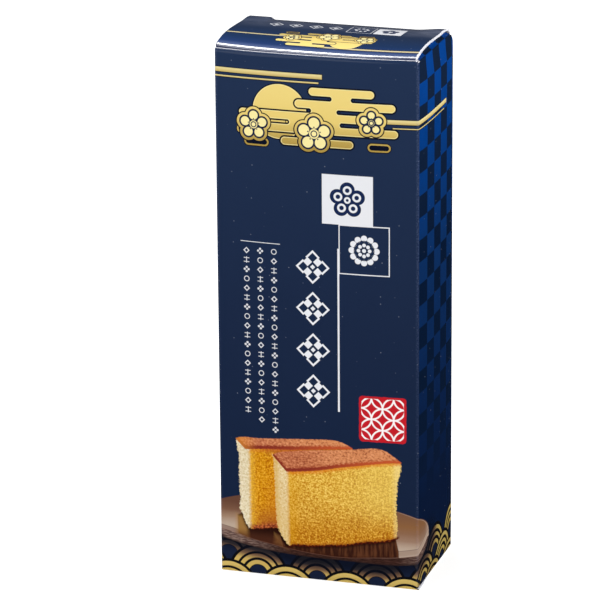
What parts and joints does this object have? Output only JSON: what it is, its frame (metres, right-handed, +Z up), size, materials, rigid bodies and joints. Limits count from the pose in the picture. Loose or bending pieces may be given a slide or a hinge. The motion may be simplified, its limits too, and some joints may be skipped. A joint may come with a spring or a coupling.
{
  "type": "printed folding carton",
  "caption": "Tall shut tuck-end carton of navy printed folding board for sponge cake, with bowed panels, a domed lid and a flat base it stands on.",
  "frame": {"origin": "middle of the flat base the carton stands on", "axes": "+Z up along the carton's height; the front panel faces -Y; the chequered right-hand side panel faces +X"},
  "size_m": [0.066, 0.043, 0.1729],
  "materials": {
    "printed_board": "gloss varnish over a navy print"
  },
  "bodies": {
    "root": {"carton": "printed_board"}
  },
  "joints": []
}
